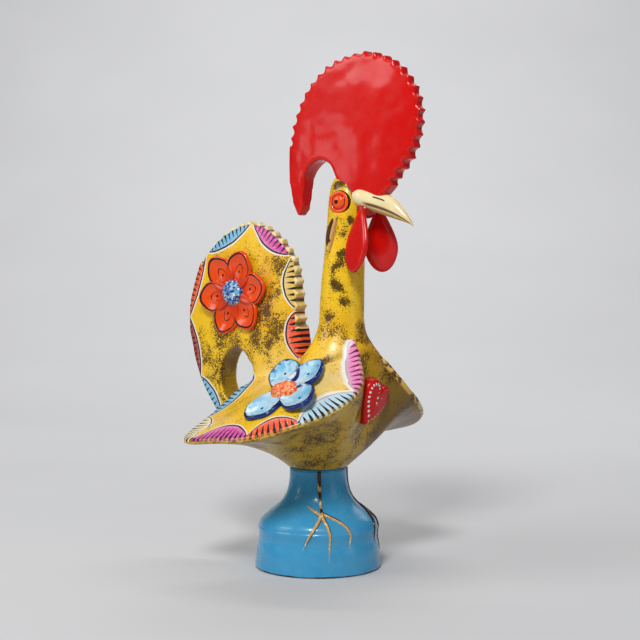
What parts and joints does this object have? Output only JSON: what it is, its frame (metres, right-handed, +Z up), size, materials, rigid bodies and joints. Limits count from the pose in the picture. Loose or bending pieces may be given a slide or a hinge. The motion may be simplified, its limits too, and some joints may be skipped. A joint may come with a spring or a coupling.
{
  "type": "rooster figurine",
  "caption": "Painted clay rooster figurine with a tall toothed comb, standing tail, clay flowers and a bell-shaped pedestal; stands by its own weight",
  "frame": {"origin": "centre of the pedestal's flat underside", "axes": "+X is the way the rooster faces, +Y its left side, +Z up"},
  "size_m": [0.2348, 0.2002, 0.4],
  "materials": {
    "painted_clay": null
  },
  "bodies": {
    "root": {"rooster": "painted_clay"}
  },
  "joints": []
}
